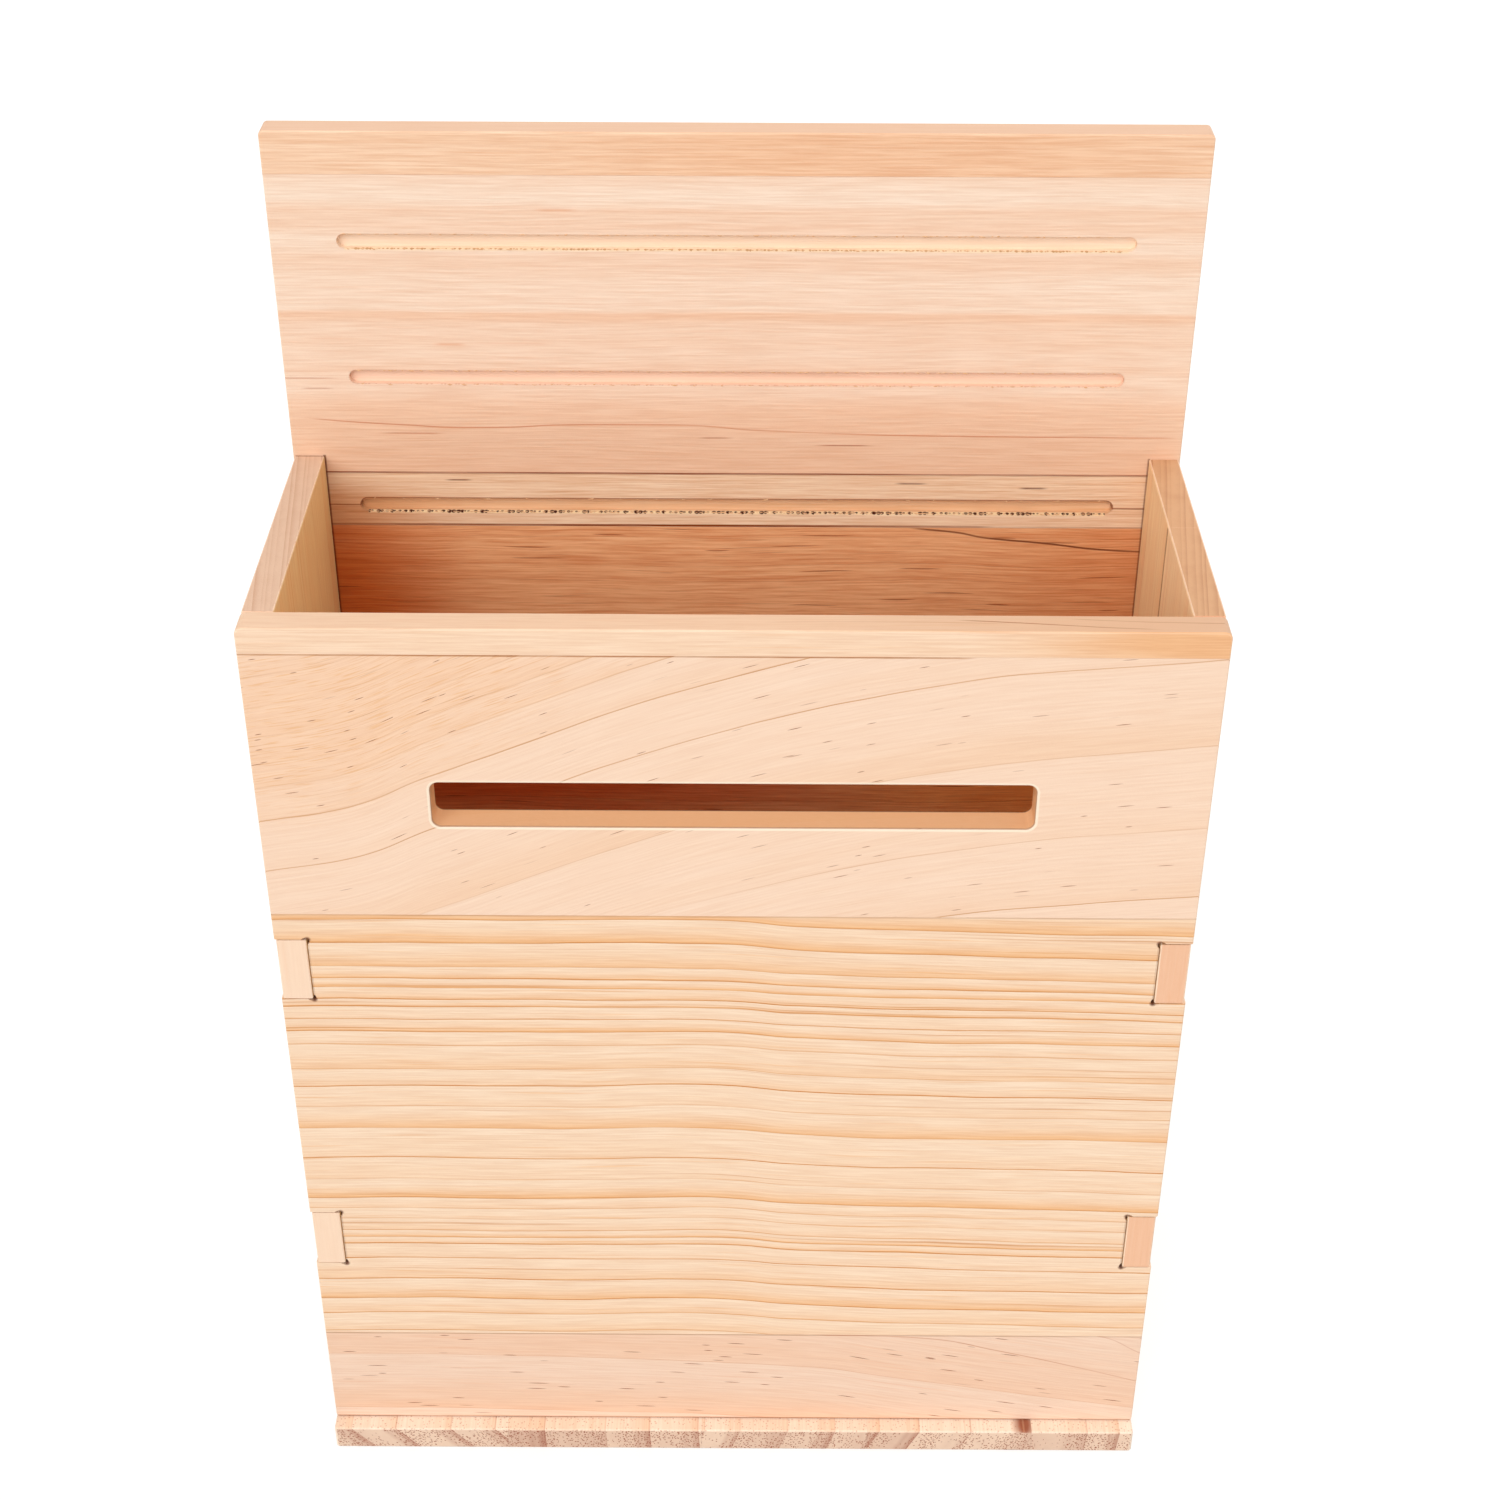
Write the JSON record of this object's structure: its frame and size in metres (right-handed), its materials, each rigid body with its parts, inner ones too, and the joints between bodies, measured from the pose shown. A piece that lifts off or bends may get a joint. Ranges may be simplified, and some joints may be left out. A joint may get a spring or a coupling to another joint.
{
  "type": "bat box",
  "caption": "Shallow pine box with an open mouth, a vent slot in its front and a grooved landing board beyond the mouth; hangs roof up on a wall by keyhole plates.",
  "frame": {"origin": "centre of the roof's outer face, on which the box stands upside down, as pictured", "axes": "+Z from the roof towards the mouth and the landing board's free edge, +Y from the front board towards the back board, +X to the right as seen from the front. Hung on a wall, the box has -Z up."},
  "size_m": [0.3, 0.13, 0.469],
  "materials": {
    "pine_pale": "bare planed pine, straight grain",
    "pine_peach": "bare planed pine, arched grain",
    "pine_cream": "bare planed pine, light sapwood",
    "pine_tan": "bare planed pine, darker heartwood",
    "pine_pink": "bare planed pine, pinkish heartwood",
    "steel": "zinc plated, satin"
  },
  "bodies": {
    "root": {"roof_board_1": "pine_cream", "roof_board_2": "pine_peach", "roof_board_3": "pine_cream", "roof_board_4": "pine_pink", "roof_board_5": "pine_cream", "front_roof_strip": "pine_peach", "front_wide_board": "pine_pale", "front_vent_board": "pine_peach", "front_mouth_strip": "pine_cream", "back_roof_board": "pine_tan", "back_chamber_board": "pine_tan", "back_narrow_strip": "pine_peach", "landing_board": "pine_pink", "landing_edge_strip": "pine_peach", "left_side_board": "pine_peach", "right_side_front_board": "pine_pink", "right_side_rear_board": "pine_peach", "roof_screw_1": "steel", "roof_screw_2": "steel", "roof_screw_3": "steel", "roof_screw_4": "steel", "roof_screw_5": "steel", "roof_screw_6": "steel", "roof_screw_7": "steel", "roof_screw_8": "steel", "left_hanger_plate": "steel", "right_hanger_plate": "steel", "left_hanger_screw_1": "steel", "left_hanger_screw_2": "steel", "right_hanger_screw_1": "steel", "right_hanger_screw_2": "steel"}
  },
  "joints": []
}
